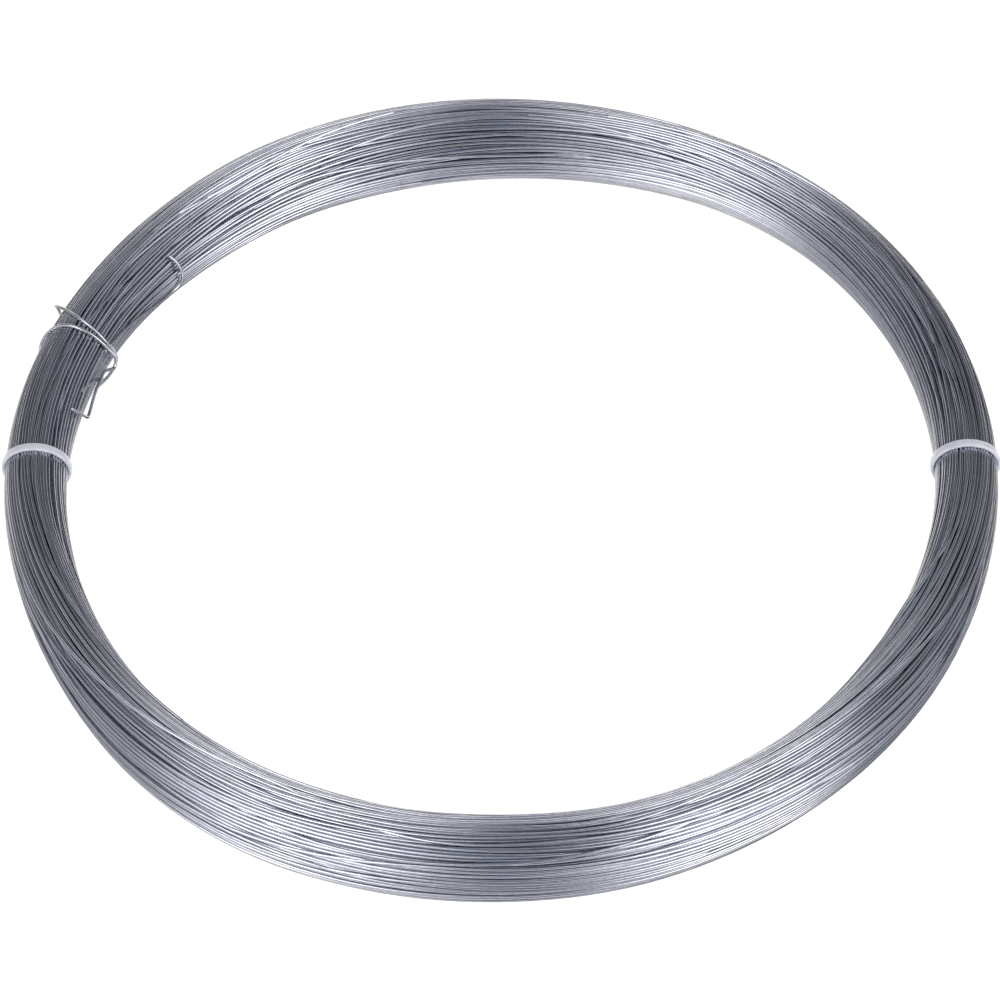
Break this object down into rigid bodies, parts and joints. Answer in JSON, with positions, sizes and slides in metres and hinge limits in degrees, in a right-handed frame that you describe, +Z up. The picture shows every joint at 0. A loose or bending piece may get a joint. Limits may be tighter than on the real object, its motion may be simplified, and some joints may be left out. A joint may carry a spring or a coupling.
{
  "type": "coil of galvanized wire",
  "caption": "Round coil of galvanized steel wire lying flat, held by nylon cable ties, with its outer end wound round the bundle.",
  "frame": {"origin": "on the floor, under the middle of the coil", "axes": "+Z up along the coil's axis, +X towards the right cable tie, +Y away from the viewer"},
  "size_m": [0.4183, 0.419, 0.0345],
  "materials": {
    "galvanized_wire": "bright drawn galvanized steel wire, bluish grey, glossy along the turns",
    "wire_end": "the same galvanized wire where one strand stands alone, bright",
    "nylon": "natural nylon, milky and slightly translucent"
  },
  "bodies": {
    "root": {"wire_coil": "galvanized_wire", "outer_end": "wire_end", "inner_end": "wire_end", "cable_tie_left": "nylon", "cable_tie_right": "nylon"}
  },
  "joints": []
}
